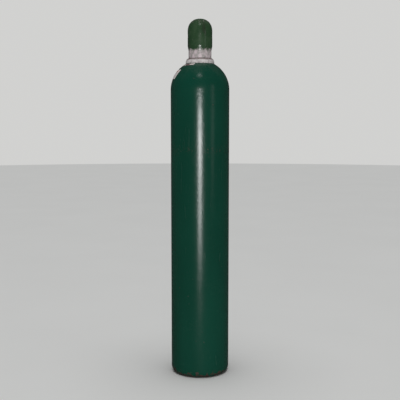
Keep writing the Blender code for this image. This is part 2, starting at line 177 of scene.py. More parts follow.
def axes_of(tree, where):
    """The X, Y and Z sockets of coordinates or of a normal."""
    return node(tree, "ShaderNodeSeparateXYZ", {0: where}).outputs


def noise(tree, where, scale, detail=2.0, rough=0.5):
    """Clouds from 0 to 1: scale is how many there are in a metre, detail how many finer layers they have,
    and rough how strong those are."""
    values = {"Vector": where, "Scale": scale, "Detail": detail, "Roughness": rough}
    return node(tree, "ShaderNodeTexNoise", values).outputs["Fac"]


def stretched(tree, where, factors):
    """Coordinates scaled by a factor for each axis."""
    return node(tree, "ShaderNodeMapping", {"Vector": where, "Scale": factors}).outputs["Vector"]


def make_orange_peel():
    """The shallow dimples of thick sprayed paint. Size is how many dimples there are in a metre."""
    group, given, result = new_group("orange_peel", "Height", Size=300.0)
    where = in_place(group)
    fine = noise(group, where, given["Size"], 1.5)
    broad = noise(group, where, sums(group, "MULTIPLY", given["Size"], 0.31), 1.0)
    group.links.new(sums(group, "MULTIPLY_ADD", broad, 1.5, fine), result)
    return group


def make_worn_band():
    """Chipped or rubbed paint near one height. Middle and Spread are metres, Breakup is spots in a metre,
    and Cover is how much of the paint is gone at the middle."""
    group, given, result = new_group(
        "worn_band", "Mask", Middle=0.0, Spread=0.02, Breakup=90.0, Cover=0.5
    )
    where = in_place(group)
    height = axes_of(group, where)["Z"]
    away = sums(group, "ABSOLUTE", sums(group, "SUBTRACT", height, given["Middle"]))
    near = sums(group, "SUBTRACT", 1.0, sums(group, "DIVIDE", away, given["Spread"]), clamp=True)
    spots = noise(group, where, given["Breakup"], 5.0, 0.62)
    reach = sums(group, "MULTIPLY", near, given["Cover"])
    edge = sums(group, "MULTIPLY_ADD", reach, 0.5, spots)
    group.links.new(ramped(group, edge, 0.70, 0.74), result)
    return group


def make_scuffs():
    """Faint rub marks and hairline scratches. Along is how far they're drawn out along the axis: over 1
    they run up and down, and under 1 they run round."""
    group, given, result = new_group("scuffs", "Mask", Size=20.0, Along=1.0, Cover=0.5)
    where = in_place(group)
    axes = axes_of(group, where)
    drawn = sums(group, "DIVIDE", axes["Z"], given["Along"])
    values = {"X": axes["X"], "Y": axes["Y"], "Z": drawn}
    along = node(group, "ShaderNodeCombineXYZ", values).outputs[0]
    where_rubbed = ramped(group, noise(group, where, given["Size"]), 0.48, 0.66)
    hairs = noise(group, along, sums(group, "MULTIPLY", given["Size"], 14.0), 3.0, 0.7)
    marks = ramped(group, hairs, 0.56, 0.68)
    both = sums(group, "MULTIPLY", where_rubbed, marks)
    group.links.new(sums(group, "MULTIPLY", both, given["Cover"]), result)
    return group


def make_settled_dust():
    """Dust that lies where a surface faces up, thicker in some places than others."""
    group, given, result = new_group("settled_dust", "Mask", Size=25.0, Cover=0.3)
    where = in_place(group)
    facing = node(group, "ShaderNodeNewGeometry").outputs["Normal"]
    up = ramped(group, axes_of(group, facing)["Z"], 0.15, 1.0)
    patches = ramped(group, noise(group, where, given["Size"], 4.0, 0.6), 0.3, 0.75)
    both = sums(group, "MULTIPLY", up, patches)
    group.links.new(sums(group, "MULTIPLY", both, given["Cover"]), result)
    return group


orange_peel = make_orange_peel()
worn_band = make_worn_band()
scuffs = make_scuffs()
settled_dust = make_settled_dust()


def new_finish(name, roughness, metallic=0.0):
    """A material with only its Principled shader set, as (material, its node tree, the shader)."""
    made = bpy.data.materials.new(name)
    made.use_nodes = True
    shader = made.node_tree.nodes["Principled BSDF"]
    shader.inputs["Roughness"].default_value = roughness
    shader.inputs["Metallic"].default_value = metallic
    return made, made.node_tree, shader


def effect(tree, group, **values):
    """The output of a shared node group placed in a material with its own values."""
    made = node(tree, "ShaderNodeGroup", node_tree=group)
    for key, value in values.items():
        made.inputs[key].default_value = value
    return made.outputs[0]


def feed(tree, shader, **sources):
    """Links sources to the shader's inputs, written with _ for a space."""
    for key, source in sources.items():
        tree.links.new(source, shader.inputs[key.replace("_", " ")])


def bumped(tree, height, distance, under=None):
    """The normal of a height that is so many metres deep, on top of another bump if one is given."""
    values = {"Height": height, "Distance": distance, "Strength": 1.0}
    if under is not None:
        values["Normal"] = under
    return node(tree, "ShaderNodeBump", values).outputs["Normal"]


def shell_enamel():
    made, tree, shader = new_finish("shell_enamel", 0.3)
    where = in_place(tree)
    fading = ramped(tree, noise(tree, stretched(tree, where, (5.0, 5.0, 1.6)), 1.0, 3.0), 0.35, 0.7)
    colour = mixed(tree, fading, SHELL_GREEN, SHELL_GREEN_FADED)
    rubs = effect(tree, scuffs, Size=9.0, Along=0.12, Cover=0.16)
    streaks = effect(tree, scuffs, Size=7.0, Along=14.0, Cover=0.14)
    marks = sums(tree, "MAXIMUM", rubs, streaks)
    colour = mixed(tree, marks, colour, RUBBED_GREEN)
    dust = effect(tree, settled_dust, Size=22.0, Cover=0.10)
    colour = mixed(tree, dust, colour, DUST_GREY)
    heel = effect(tree, worn_band, Middle=HEEL_CHIPS * MM, Spread=0.03, Breakup=70.0, Cover=0.62)
    waist = effect(tree, worn_band, Middle=RACK_RUBS * MM, Spread=0.05, Breakup=240.0, Cover=0.22)
    chips = sums(tree, "MAXIMUM", heel, waist)
    colour = mixed(tree, chips, colour, PRIMER_BROWN)
    height = axes_of(tree, where)["Z"]
    neck_edge = sums(tree, "MULTIPLY_ADD", noise(tree, where, 90.0, 4.0, 0.6), 0.004, height)
    faced = ramped(tree, neck_edge, (NECK_TOP - 0.6) * MM, (NECK_TOP + 1.6) * MM)
    colour = mixed(tree, faced, colour, FACED_STEEL)
    clouds = noise(tree, where, 30.0, 3.0)
    rough = sums(tree, "MULTIPLY_ADD", clouds, 0.08, 0.19)
    rough = sums(tree, "MULTIPLY_ADD", marks, 0.7, rough)
    rough = sums(tree, "MULTIPLY_ADD", dust, 1.5, rough)
    rough = sums(tree, "MULTIPLY_ADD", chips, 0.35, rough, clamp=True)
    peel = bumped(tree, effect(tree, orange_peel, Size=260.0), 0.00016)
    chipped = bumped(tree, sums(tree, "SUBTRACT", 1.0, chips), 0.00012, peel)
    feed(tree, shader, Base_Color=colour, Roughness=rough, Normal=chipped)
    return made


def wall_radius(height):
    """The forged wall isn't dead straight: it has a slight swell above the heel and long shallow waves."""
    swell = math.exp(-(((height - SWELL_HEIGHT) / SWELL_REACH) ** 2))
    wave = 0.5 + 0.5 * math.sin(height / WAVE_RUN)
    return SHELL_RADIUS - WALL_ALLOWANCE + SWELL_DEPTH * swell + WAVE_DEPTH * wave


def shoulder_height(radius):
    return SHOULDER_START + SHOULDER_RISE * math.sin(math.acos(radius / SHELL_RADIUS))


def shell_profile():
    """From the middle of the inside, up the inner wall, over the neck, and down the outside."""
    inner = SHELL_RADIUS - SHELL_WALL
    floor = 30.0
    neck_foot = 42.0
    foot_turn = math.degrees(math.acos(neck_foot / SHELL_RADIUS))
    foot_height = shoulder_height(neck_foot)
    points = [(0.0, floor), (40.0, floor - 3.0), (72.0, floor - 11.0)]
    points += arc((82.0, floor + 12.0), (inner - 82.0, 23.0), -70, 0, 6)
    points += arc((0.0, SHOULDER_START), (inner, SHOULDER_RISE - 2 * SHELL_WALL), 0, 74, 12)
    points += [(16.5, NECK_TOP - 42.0), (13.5, NECK_TOP - 34.0), (13.5, NECK_TOP - 24.0)]
    points += [(14.2, NECK_TOP - 1.2), (15.4, NECK_TOP)]
    points += arc((NECK_RADIUS - 1.5, NECK_TOP - 1.5), (1.5, 1.5), 90, 0, 4)
    points += arc((neck_foot, foot_height + 9.0), (neck_foot - NECK_RADIUS, 9.0), 180, 258, 8)
    points += arc((0.0, SHOULDER_START), (wall_radius(SHOULDER_START), SHOULDER_RISE), foot_turn - 1.0, 1, 44)
    levels = [SHOULDER_START - 14.0 * i for i in range(81)]
    points += [(wall_radius(level), level) for level in levels if level > HEEL_RADIUS + 8.0]
    heel = wall_radius(HEEL_RADIUS)
    points += arc((heel - HEEL_RADIUS, HEEL_RADIUS), (HEEL_RADIUS, HEEL_RADIUS), 0, -90, 14)
    points += [(87.5, 0.0), (85.5, 0.3), (83.5, 1.2), (81.0, 2.6)]
    points += arc((0.0, -173.0), (191.0, 191.0), 66.5, 90, 10)[:-1]
    points.append((0.0, 18.0))
    return points


shell = lathe("steel_shell", shell_profile(), sides=144)
shell.data.materials.append(shell_enamel())
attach(shell, "cylinder")
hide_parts("cylinder_shell")


# ---------------------------------------------------------------- neck ring
# A forged steel collar shrunk on the neck. Its rounded foot sits on the shoulder and its outside thread
# takes the protection cap. It was painted pale and the paint has rubbed thin, with a painted shade just under
# the cap.

RING_RADIUS = 56.8
RING_ROUNDING = 12.0
RING_LIP = 4.5
RING_GAP = 0.35
RING_FOOT_RUST = 1255.0
THREAD_PITCH = 2.31
THREAD_STEEPNESS = 1.25  # over 1, a groove has a flat root
FILLET_LIMIT = 0.48  # of the shorter side, so that two fillets on it don't meet
RING_THREAD_RADIUS = 39.7
CAP_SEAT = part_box("protection_cap")[0].z / MM
RING_PALE = (0.73, 0.69, 0.69, 1.0)
RING_WORN = (0.43, 0.395, 0.39, 1.0)
RING_SHADE_AND_GRIME = (0.17, 0.115, 0.11, 1.0)
RING_RUBBED = (0.58, 0.56, 0.55, 1.0)
RUST_BROWN = (0.20, 0.11, 0.07, 1.0)


def straight(start, end, steps):
    """Evenly spaced (radius, height) points on a straight run."""
    return [
        (start[0] + (end[0] - start[0]) * i / steps, start[1] + (end[1] - start[1]) * i / steps)
        for i in range(steps + 1)
    ]


def filleted(corners, steps=4):
    """(radius, height, fillet) corners of a profile, each with its fillet drawn as an arc. The first and
    the last corner count as neighbours, as in a ring."""
    points = []
    for i, (radius, height, fillet) in enumerate(corners):
        here = Vector((radius, height))
        if not fillet:
            points.append(tuple(here))
            continue
        back = Vector(corners[i - 1][:2]) - here
        onward = Vector(corners[(i + 1) % len(corners)][:2]) - here
        reach_limit = FILLET_LIMIT * min(back.length, onward.length)
        back.normalize()
        onward.normalize()
        half = math.acos(max(-1.0, min(1.0, back.dot(onward)))) / 2
        reach = min(fillet / math.tan(half), reach_limit)
        centre = here + (back + onward).normalized() * (reach / math.cos(half))
        first, last = here + back * reach - centre, here + onward * reach - centre
        start = math.atan2(first.y, first.x)
        sweep = (math.atan2(last.y, last.x) - start + math.pi) % (2 * math.pi) - math.pi
        for k in range(steps + 1):
            turn = start + sweep * k / steps
            across, up = first.length * math.cos(turn), first.length * math.sin(turn)
            points.append((centre.x + across, centre.y + up))
    return points


def screw_thread(low, high, pitch, depth, nearest, furthest):
    """A shape for lathe: a helical groove between two heights, cut into radii between nearest and
    furthest, that fades out over a turn at each end. A depth under 0 cuts an inside thread."""

    def shape(radius, height, turn):
        if not (low < height < high and nearest <= radius <= furthest):
            return radius
        phase = (height / pitch - turn / (2 * math.pi)) % 1.0
        groove = min(1.0, THREAD_STEEPNESS * (1.0 - abs(2.0 * phase - 1.0)))
        fade = min(1.0, (height - low) / pitch, (high - height) / pitch)
        return radius - depth * fade * groove

    return shape


def ring_paint():
    made, tree, shader = new_finish("ring_paint", 0.45)
    where = in_place(tree)
    tone = ramped(tree, noise(tree, where, 60.0, 5.0, 0.6), 0.4, 0.72)
    colour = mixed(tree, tone, RING_PALE, RING_WORN)
    height = axes_of(tree, where)["Z"]
    # Painted shade: the ring is darkened for a few millimetres just under the cap's skirt. The same darker
    # colour on the thread above it, hidden under the cap, stands for grime.
    shade_band_edge = sums(tree, "MULTIPLY_ADD", noise(tree, where, 110.0, 4.0, 0.6), 0.005, height)
    darkened = ramped(tree, shade_band_edge, (CAP_SEAT - 6.5) * MM, (CAP_SEAT - 1.0) * MM)
    colour = mixed(tree, sums(tree, "MULTIPLY", darkened, 0.8), colour, RING_SHADE_AND_GRIME)
    rust = effect(tree, worn_band, Middle=(CAP_SEAT - 3.0) * MM, Spread=0.010, Breakup=130.0, Cover=0.20)
    foot = effect(tree, worn_band, Middle=RING_FOOT_RUST * MM, Spread=0.007, Breakup=110.0, Cover=0.28)
    spots = sums(tree, "MAXIMUM", rust, foot)
    colour = mixed(tree, spots, colour, RUST_BROWN)
    rubs = effect(tree, scuffs, Size=45.0, Along=0.2, Cover=0.5)
    colour = mixed(tree, rubs, colour, RING_RUBBED)
    rough = sums(tree, "MULTIPLY_ADD", tone, 0.18, 0.38)
    rough = sums(tree, "MULTIPLY_ADD", spots, 0.3, rough, clamp=True)
    cast = bumped(tree, noise(tree, where, 480.0, 3.0), 0.00015)
    feed(tree, shader, Base_Color=colour, Roughness=rough, Normal=cast)
    return made


def neck_ring_profile():
    ledge = CAP_SEAT - 0.3
    inner = NECK_RADIUS + 0.45
    top = NECK_TOP - 2.0
    chamfer = [(RING_THREAD_RADIUS - 1.4, top, 0.4), (RING_THREAD_RADIUS, top - 1.4, 0.3)]
    outside = filleted([(inner, top, 0.0), *chamfer, (RING_THREAD_RADIUS, ledge, 0.0)], 2)[1:-1]
    thread_rows = straight((RING_THREAD_RADIUS, top - 1.8), (RING_THREAD_RADIUS, ledge + 1.2), 56)
    lower = [(RING_THREAD_RADIUS - 1.0, ledge + 1.0, 0.0), (RING_THREAD_RADIUS - 1.0, ledge, 0.4)]
    lip_top = shoulder_height(RING_RADIUS) + RING_LIP
    rounding = arc((RING_RADIUS - RING_ROUNDING, lip_top), (RING_ROUNDING, ledge - lip_top), 88, 0, 16)
    lower += [(*point, 0.0) for point in rounding]
    lower.append((RING_RADIUS, shoulder_height(RING_RADIUS) + RING_GAP, 0.8))
    lower += [(radius, shoulder_height(radius) + RING_GAP, 0.0) for radius in (54.5, 51.5, 48.5, 45.5)]
    lower += [(inner, shoulder_height(inner) + 12.0, 2.0), (inner, top, 0.4)]
    below = filleted([(*thread_rows[-1], 0.0), *lower, (*chamfer[0][:2], 0.0)])[1:-1]
    return outside + thread_rows + below


ring_thread = screw_thread(CAP_SEAT + 0.4, NECK_TOP - 2.6, THREAD_PITCH, 1.15, 38.9, 41.0)
neck_ring = lathe("neck_collar", neck_ring_profile(), sides=120, shape=ring_thread)
neck_ring.data.materials.append(ring_paint())
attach(neck_ring, "cylinder")
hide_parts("neck_ring")


# ---------------------------------------------------------------- shoulder labels
# Two printed films stuck to the shoulder by hand, a little crooked: a wide contents label on the left
# and a narrow batch strip under the neck ring. Their print is plain bars and blocks of colour.

FILM_WHITE = (0.80, 0.75, 0.73, 1.0)
FILM_AGED = (0.60, 0.55, 0.50, 1.0)
FILM_SOILED = (0.42, 0.39, 0.35, 1.0)
FILM_OFF = 0.06
FILM_THICKNESS = 0.12
EDGE_LIFT = 0.22
EDGE_WIDTH = 2.5
INKED_PART = 0.52  # of a row's height
ROW_SHIFT = 7.3  # so that the words of one row don't stand over those of the next
CONTENTS_LABEL = {
    "azimuth": -97.0, "middle_radius": 99.0, "tilt": -3.0,
    "width": 110.0, "height": 43.0, "corner": 4.0,
}
BATCH_STRIP = {
    "azimuth": -52.0, "middle_radius": 65.5, "tilt": 5.0,
    "width": 62.0, "height": 10.5, "corner": 1.5,
}


def on_shoulder(label, across, up, off):
    """Where a point of a flat label lies once the label is stuck to the shoulder, off above the steel."""
    turn = math.radians(label["tilt"])
    middle = math.acos(label["middle_radius"] / SHELL_RADIUS)
    along = across * math.cos(turn) - up * math.sin(turn)
    rise = middle + (across * math.sin(turn) + up * math.cos(turn)) / ((SHELL_RADIUS + SHOULDER_RISE) / 2)
    steel_radius = SHELL_RADIUS * math.cos(rise)
    out = Vector((math.cos(rise) / SHELL_RADIUS, math.sin(rise) / SHOULDER_RISE)).normalized()
    around = math.radians(label["azimuth"]) + along / steel_radius
    radius = steel_radius + off * out.x
    level = SHOULDER_START + SHOULDER_RISE * math.sin(rise) + off * out.y
    return Vector((radius * math.sin(around), -radius * math.cos(around), level)) * MM


def shoulder_film(name, label, columns, rows, finish):
    """A thin film with round corners and a lifted edge here and there, with the print's UV on it."""
    corner = label["corner"]
    made = bmesh.new()
    uv = made.loops.layers.uv.new("print")
    sheet = {}
    for side, off in (("top", FILM_OFF + FILM_THICKNESS), ("under", FILM_OFF)):
        for j in range(rows + 1):
            up = (j / rows - 0.5) * label["height"]
            past = max(0.0, abs(up) - (label["height"] / 2 - corner))
            reach = label["width"] / 2 - (corner - math.sqrt(max(0.0, corner**2 - past**2)))
            for i in range(columns + 1):
                across = (i / columns * 2 - 1) * reach
                inwards = min(reach - abs(across), label["height"] / 2 - abs(up), EDGE_WIDTH)
                edge = 1.0 - inwards / EDGE_WIDTH
                curl = EDGE_LIFT * edge**2 * (0.5 + 0.5 * math.sin(across * 0.31 + up * 0.7))
                vertex = made.verts.new(on_shoulder(label, across, up, off + curl))
                printed = (across / label["width"] + 0.5, up / label["height"] + 0.5)
                sheet[side, i, j] = (vertex, printed)

    def panel(*keys):
        face = made.faces.new([sheet[key][0] for key in keys])
        for loop, key in zip(face.loops, keys):
            loop[uv].uv = sheet[key][1]

    for i in range(columns):
        for j in range(rows):
            panel(("top", i, j), ("top", i + 1, j), ("top", i + 1, j + 1), ("top", i, j + 1))
            panel(("under", i, j), ("under", i, j + 1), ("under", i + 1, j + 1), ("under", i + 1, j))
        for j in (0, rows):
            panel(("top", i, j), ("under", i, j), ("under", i + 1, j), ("top", i + 1, j))
    for j in range(rows):
        for i in (0, columns):
            panel(("top", i, j), ("under", i, j), ("under", i, j + 1), ("top", i, j + 1))
    piece = finish_mesh(name, made)
    piece.data.materials.append(finish)
    return piece


def make_print_box():
    """1 inside a rectangle of a label's print, whose edges are given as parts of its width and height."""
    group, given, result = new_group("print_box", "Mask", Left=0.1, Right=0.9, Bottom=0.1, Top=0.9)
    axes = axes_of(group, node(group, "ShaderNodeUVMap", uv_map="print").outputs[0])
    past_left = sums(group, "GREATER_THAN", axes["X"], given["Left"])
    before_right = sums(group, "LESS_THAN", axes["X"], given["Right"])
    over_bottom = sums(group, "GREATER_THAN", axes["Y"], given["Bottom"])
    under_top = sums(group, "LESS_THAN", axes["Y"], given["Top"])
    across = sums(group, "MULTIPLY", past_left, before_right)
    upright = sums(group, "MULTIPLY", over_bottom, under_top)
    group.links.new(sums(group, "MULTIPLY", across, upright), result)
    return group


def make_print_bars():
    """Rows of broken bars, as small print looks from a distance. Rows is how many a label's height holds."""
    group, given, result = new_group("print_bars", "Mask", Rows=12.0, Words=20.0, Fill=0.5)
    axes = axes_of(group, node(group, "ShaderNodeUVMap", uv_map="print").outputs[0])
    tall = sums(group, "MULTIPLY", axes["Y"], given["Rows"])
    inked = sums(group, "LESS_THAN", sums(group, "FRACT", tall), INKED_PART)
    along = sums(group, "MULTIPLY", axes["X"], given["Words"])
    apart = sums(group, "MULTIPLY", sums(group, "FLOOR", tall), ROW_SHIFT)
    place = node(group, "ShaderNodeCombineXYZ", {"X": along, "Y": apart}).outputs[0]
    words = sums(group, "LESS_THAN", noise(group, place, 1.0, 1.0), given["Fill"])
    group.links.new(sums(group, "MULTIPLY", inked, words), result)
    return group


print_box = make_print_box()
print_bars = make_print_bars()


def film_finish(name, blocks, bars):
    """Printed film: blocks are (left, right, bottom, top, colour), and bars the same with rows and words."""
    made, tree, shader = new_finish(name, 0.4)
    where = in_place(tree)
    aged = ramped(tree, noise(tree, where, 45.0, 4.0), 0.45, 0.8)
    colour = mixed(tree, aged, FILM_WHITE, FILM_AGED)
    for left, right, bottom, top, ink in blocks:
        mask = effect(tree, print_box, Left=left, Right=right, Bottom=bottom, Top=top)
        colour = mixed(tree, mask, colour, ink)
    for left, right, bottom, top, ink, rows, words in bars:
        mask = effect(tree, print_box, Left=left, Right=right, Bottom=bottom, Top=top)
        lines = effect(tree, print_bars, Rows=rows, Words=words, Fill=0.52)
        colour = mixed(tree, sums(tree, "MULTIPLY", mask, lines), colour, ink)
    rubs = effect(tree, scuffs, Size=60.0, Along=1.0, Cover=0.45)
    colour = mixed(tree, rubs, colour, FILM_SOILED)
    rough = sums(tree, "MULTIPLY_ADD", rubs, 0.4, 0.36)
    wrinkles = bumped(tree, noise(tree, where, 120.0, 2.0), 0.00012)
    feed(tree, shader, Base_Color=colour, Roughness=rough, Normal=wrinkles)
    return made


INK_GREY = (0.16, 0.15, 0.16, 1.0)
INK_RED = (0.56, 0.075, 0.03, 1.0)
INK_PINK = (0.60, 0.30, 0.28, 1.0)
INK_MAROON = (0.14, 0.035, 0.05, 1.0)
contents_finish = film_finish(
    "contents_film",
    [(0.03, 0.23, 0.12, 0.88, INK_RED), (0.52, 0.86, 0.72, 0.9, INK_PINK)],
    [(0.52, 0.86, 0.12, 0.66, INK_MAROON, 11.0, 16.0), (0.27, 0.48, 0.1, 0.9, INK_GREY, 14.0, 22.0)],
)
strip_finish = film_finish(
    "strip_film",
    [(0.03, 0.2, 0.12, 0.88, INK_GREY), (0.34, 0.68, 0.1, 0.9, INK_MAROON)],
    [(0.22, 0.32, 0.12, 0.88, INK_GREY, 3.0, 24.0), (0.72, 0.94, 0.15, 0.85, INK_PINK, 3.0, 30.0)],
)
films = (
    ("contents_film", "contents_label", CONTENTS_LABEL, 48, 18, contents_finish),
    ("batch_film", "batch_strip", BATCH_STRIP, 40, 6, strip_finish),
)
for name, solid, label, columns, rows, finish in films:
    film = shoulder_film(name, label, columns, rows, finish)
    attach(film, "cylinder")
    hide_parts(solid)


# ---------------------------------------------------------------- inlet tape
# White PTFE tape wound on the valve's taper thread before it is screwed into the neck. Only its ragged
# top edge shows.

AT_NECK = Matrix.Translation((0.0, 0.0, NECK_TOP * MM))
TAPE_WHITE = (0.78, 0.78, 0.76, 1.0)
TAPE_GREY = (0.62, 0.62, 0.60, 1.0)
TAPE_UNEVENNESS = 0.05
tape_outside = [(13.95, 1.25), (14.0, 0.4), (13.95, 0.0), (13.15, -23.0)]
tape_inside = [(12.75, -23.0), (13.5, 0.0), (13.5, 1.25)]


def ragged(radius, height, turn):
    """Lets the windings of the tape show as uneven thickness of its outside near the top."""
    if radius <= 13.6:
        return radius
    return radius - TAPE_UNEVENNESS + TAPE_UNEVENNESS * math.sin(9 * turn + height)


def tape_finish():
    made, tree, shader = new_finish("ptfe_tape", 0.55)
    where = in_place(tree)
    folds = noise(tree, stretched(tree, where, (60.0, 60.0, 900.0)), 1.0, 3.0)
    colour = mixed(tree, folds, TAPE_WHITE, TAPE_GREY)
    feed(tree, shader, Base_Color=colour, Normal=bumped(tree, folds, 0.0002))
    return made


ptfe = tape_finish()
tape = lathe("sealing_tape", tape_outside + tape_inside, sides=72, shape=ragged, at=AT_NECK)
tape.data.materials.append(ptfe)
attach(tape, "cylinder")
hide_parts("inlet_tape")


# ---------------------------------------------------------------- valve body
# A hot-forged brass body, machined where it matters: a hexagon for the wrench, a threaded outlet with a
# socket for the regulator's nipple, a boss for the pressure relief, and a spigot for the bonnet nut.

OUTLET_HEIGHT = 32.0  # this and the next are above the neck's top
RELIEF_HEIGHT = 13.0
OUTLET_RADIUS = 11.45
OUTLET_FACE = 34.0  # from the valve's axis
OUTLET_PITCH = 1.814
WRENCH_HEX = 34.0
HEX_FACE = 0.975  # width of a hexagon's round end face, as a part of its width across flats
HEX_CHAMFER = 1.75  # how far the chamfer runs out for each millimetre of height
TO_FRONT = AT_NECK @ Matrix.Translation((0.0, 0.0, OUTLET_HEIGHT * MM)) @ Matrix.Rotation(math.pi / 2, 4, "X")
TO_BACK = AT_NECK @ Matrix.Translation((0.0, 0.0, RELIEF_HEIGHT * MM)) @ Matrix.Rotation(-math.pi / 2, 4, "X")
BRASS_CLEAN = (0.66, 0.46, 0.19, 1.0)
BRASS_TARNISHED = (0.33, 0.21, 0.085, 1.0)


def hexagonal(across, low, high, nearest):
    """A shape for lathe: six flats between two heights on radii over nearest, chamfered at both ends."""

    def shape(radius, height, turn):
        if not (low <= height <= high and radius > nearest):
            return radius
        flat = across / 2 / math.cos(turn % (math.pi / 3) - math.pi / 6)
        chamfered = across / 2 * HEX_FACE + HEX_CHAMFER * min(height - low, high - height)
        return min(radius, flat, chamfered)

    return shape


def hex_rows(radius, low, high):
    """Rows down a hexagon's side, close together where the chamfers are."""
    near = [0.0, 0.3, 0.6, 0.9, 1.2, 1.6, 2.1]
    return [(radius, high - step) for step in near] + [(radius, low + step) for step in reversed(near)]


def combined(piece, operation, *tools):
    """piece after a Boolean with each tool in turn. The tools are used up."""
    for tool in tools:
        step = piece.modifiers.new(operation, "BOOLEAN")
        step.operation = operation
        step.solver = "EXACT"
        step.object = tool
    bpy.context.view_layer.update()
    graph = bpy.context.evaluated_depsgraph_get()
    made = bpy.data.meshes.new_from_object(piece.evaluated_get(graph))
    piece.modifiers.clear()
    piece.data = made
    for tool in tools:
        bpy.data.objects.remove(tool)
    made.polygons.foreach_set("use_smooth", [True] * len(made.polygons))
    made.set_sharp_from_angle(angle=math.radians(SHARP_DEGREES))
    return piece


def make_tarnish():
    """Dark patches on handled metal. Size is how many patches there are in a metre."""
    group, given, result = new_group("tarnish", "Mask", Size=60.0, Cover=0.5)
    where = in_place(group)
    clouds = noise(group, where, given["Size"], 5.0, 0.6)
    specks = noise(group, where, sums(group, "MULTIPLY", given["Size"], 12.0), 2.0, 0.6)
    patches = ramped(group, sums(group, "MULTIPLY_ADD", specks, 0.35, clouds), 0.55, 0.95)
    group.links.new(sums(group, "MULTIPLY", patches, given["Cover"]), result)
    return group


tarnish = make_tarnish()


def metal_finish(name, clean, dull, roughness, size, cover, grain, depth, metallic=0.9):
    """Bare metal with tarnish over it. size is how many patches there are in a metre, and grain how many
    grains in each direction. metallic is lower where a dull oxide skin covers the metal."""
    made, tree, shader = new_finish(name, roughness, metallic)
    where = in_place(tree)
    dark = effect(tree, tarnish, Size=size, Cover=cover)
    rough = sums(tree, "MULTIPLY_ADD", dark, 0.3, roughness)
    texture = noise(tree, stretched(tree, where, grain), 1.0, 3.0, 0.6)
    colour = mixed(tree, dark, clean, dull)
    feed(tree, shader, Base_Color=colour, Roughness=rough, Normal=bumped(tree, texture, depth))
    return made


forged_brass = metal_finish(
    "forged_brass", BRASS_CLEAN, BRASS_TARNISHED, roughness=0.27,
    size=55.0, cover=0.75, grain=(900.0, 900.0, 900.0), depth=0.00006,
)


def valve_body():
    top = [(0.0, 62.0, 0.0), (11.0, 62.0, 0.9), (11.0, 52.0, 0.3), (16.0, 52.0, 1.6), (16.0, 18.6, 1.4)]
    profile = filleted([*top, (17.5, 17.0, 0.0)])[:-1]
    profile += [(16.6, 17.0), *hex_rows(19.7, 2.0, 17.0), (14.4, 2.0), (13.35, 2.9), (13.2, 0.0)]
    profile += [(12.45, -24.0), (11.2, -25.0), (0.0, -25.0)]
    body = lathe("valve_body_forging", profile, 96, hexagonal(WRENCH_HEX, 2.0, 17.0, 16.5), AT_NECK)

    face = [(0.0, OUTLET_FACE, 0.0), (OUTLET_RADIUS, OUTLET_FACE, 1.3), (OUTLET_RADIUS, 30.0, 0.0)]
    rows = straight((OUTLET_RADIUS, 31.8), (OUTLET_RADIUS, 18.4), 84)
    root = [(OUTLET_RADIUS, 18.2, 0.0), (10.4, 17.4, 0.4), (12.8, 16.6, 0.6), (13.1, 13.5, 2.0)]
    root = filleted([*root, (15.5, 10.0, 0.0)]) + [(15.5, 2.0), (0.0, 2.0)]
    outlet_thread = screw_thread(18.3, 32.6, OUTLET_PITCH, 1.05, 11.0, 12.0)
    boss = lathe("outlet", filleted(face)[:-1] + rows + root, 96, outlet_thread, TO_FRONT)
    relief = filleted([(0.0, 24.0, 0.0), (9.0, 24.0, 0.9), (9.0, 17.5, 1.5), (10.8, 14.5, 0.0)])
    relief += [(10.8, 2.0), (0.0, 2.0)]
    combined(body, "UNION", boss, lathe("relief", relief, 72, at=TO_BACK))

    chamber = [(0.0, 67.0), (8.0, 67.0), (8.0, 22.5), (5.6, 22.5), (5.0, 24.0), (3.2, 24.0)]
    chamber += [(3.2, -40.0), (0.0, -40.0)]
    mouth = [(0.0, 39.0), (7.6, 39.0), (7.6, 34.0), (6.6, 32.9), (6.6, 23.0), (3.2, 20.0)]
    mouth += [(3.2, 5.0), (0.0, 5.0)]
    vent = [(0.0, 29.0), (7.6, 29.0), (7.6, 24.0), (6.8, 23.2), (6.8, 13.0), (2.0, 13.0)]
    vent += [(2.0, 1.0), (0.0, 1.0)]
    combined(
        body,
        "DIFFERENCE",
        lathe("chamber", chamber, 72, at=AT_NECK),
        lathe("mouth", mouth, 72, at=TO_FRONT),
        lathe("vent", vent, 72, at=TO_BACK),
    )
    body.data.materials.append(forged_brass)
    return body


body = valve_body()
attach(body, "cylinder")
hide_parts("valve_body")


# ---------------------------------------------------------------- pressure relief
# A hexagon plug screwed into the back of the body. It clamps a thin copper disc on a copper gasket, and
# gas that bursts the disc leaves through its blind bore and two cross holes.

COPPER_CLEAN = (0.75, 0.36, 0.23, 1.0)
COPPER_DULL = (0.3, 0.13, 0.07, 1.0)


def relief_plug():
    profile = [(0.0, 31.0), *hex_rows(8.7, 24.3, 31.0), (6.4, 24.3), (6.4, 15.6), (6.1, 15.3), (0.0, 15.3)]
    plug = lathe("relief_plug", profile, 72, hexagonal(15.0, 24.3, 31.0, 7.2), TO_BACK)
    bore = [(0.0, 28.6), (2.5, 28.6), (2.5, 10.0), (0.0, 10.0)]
    hole = [(0.0, 12.0), (1.3, 12.0), (1.3, -12.0), (0.0, -12.0)]
    crossing = TO_BACK @ Matrix.Translation((0.0, 0.0, 27.6 * MM)) @ Matrix.Rotation(math.pi / 2, 4, "Y")
    tools = (lathe("bore", bore, 32, at=TO_BACK), lathe("hole", hole, 24, at=crossing))
    return combined(plug, "DIFFERENCE", *tools)


def refinish(name, finish):
    """Gives a solid that stays plain the finish of the real piece."""
    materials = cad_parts[name].data.materials
    materials.clear()
    materials.append(finish)


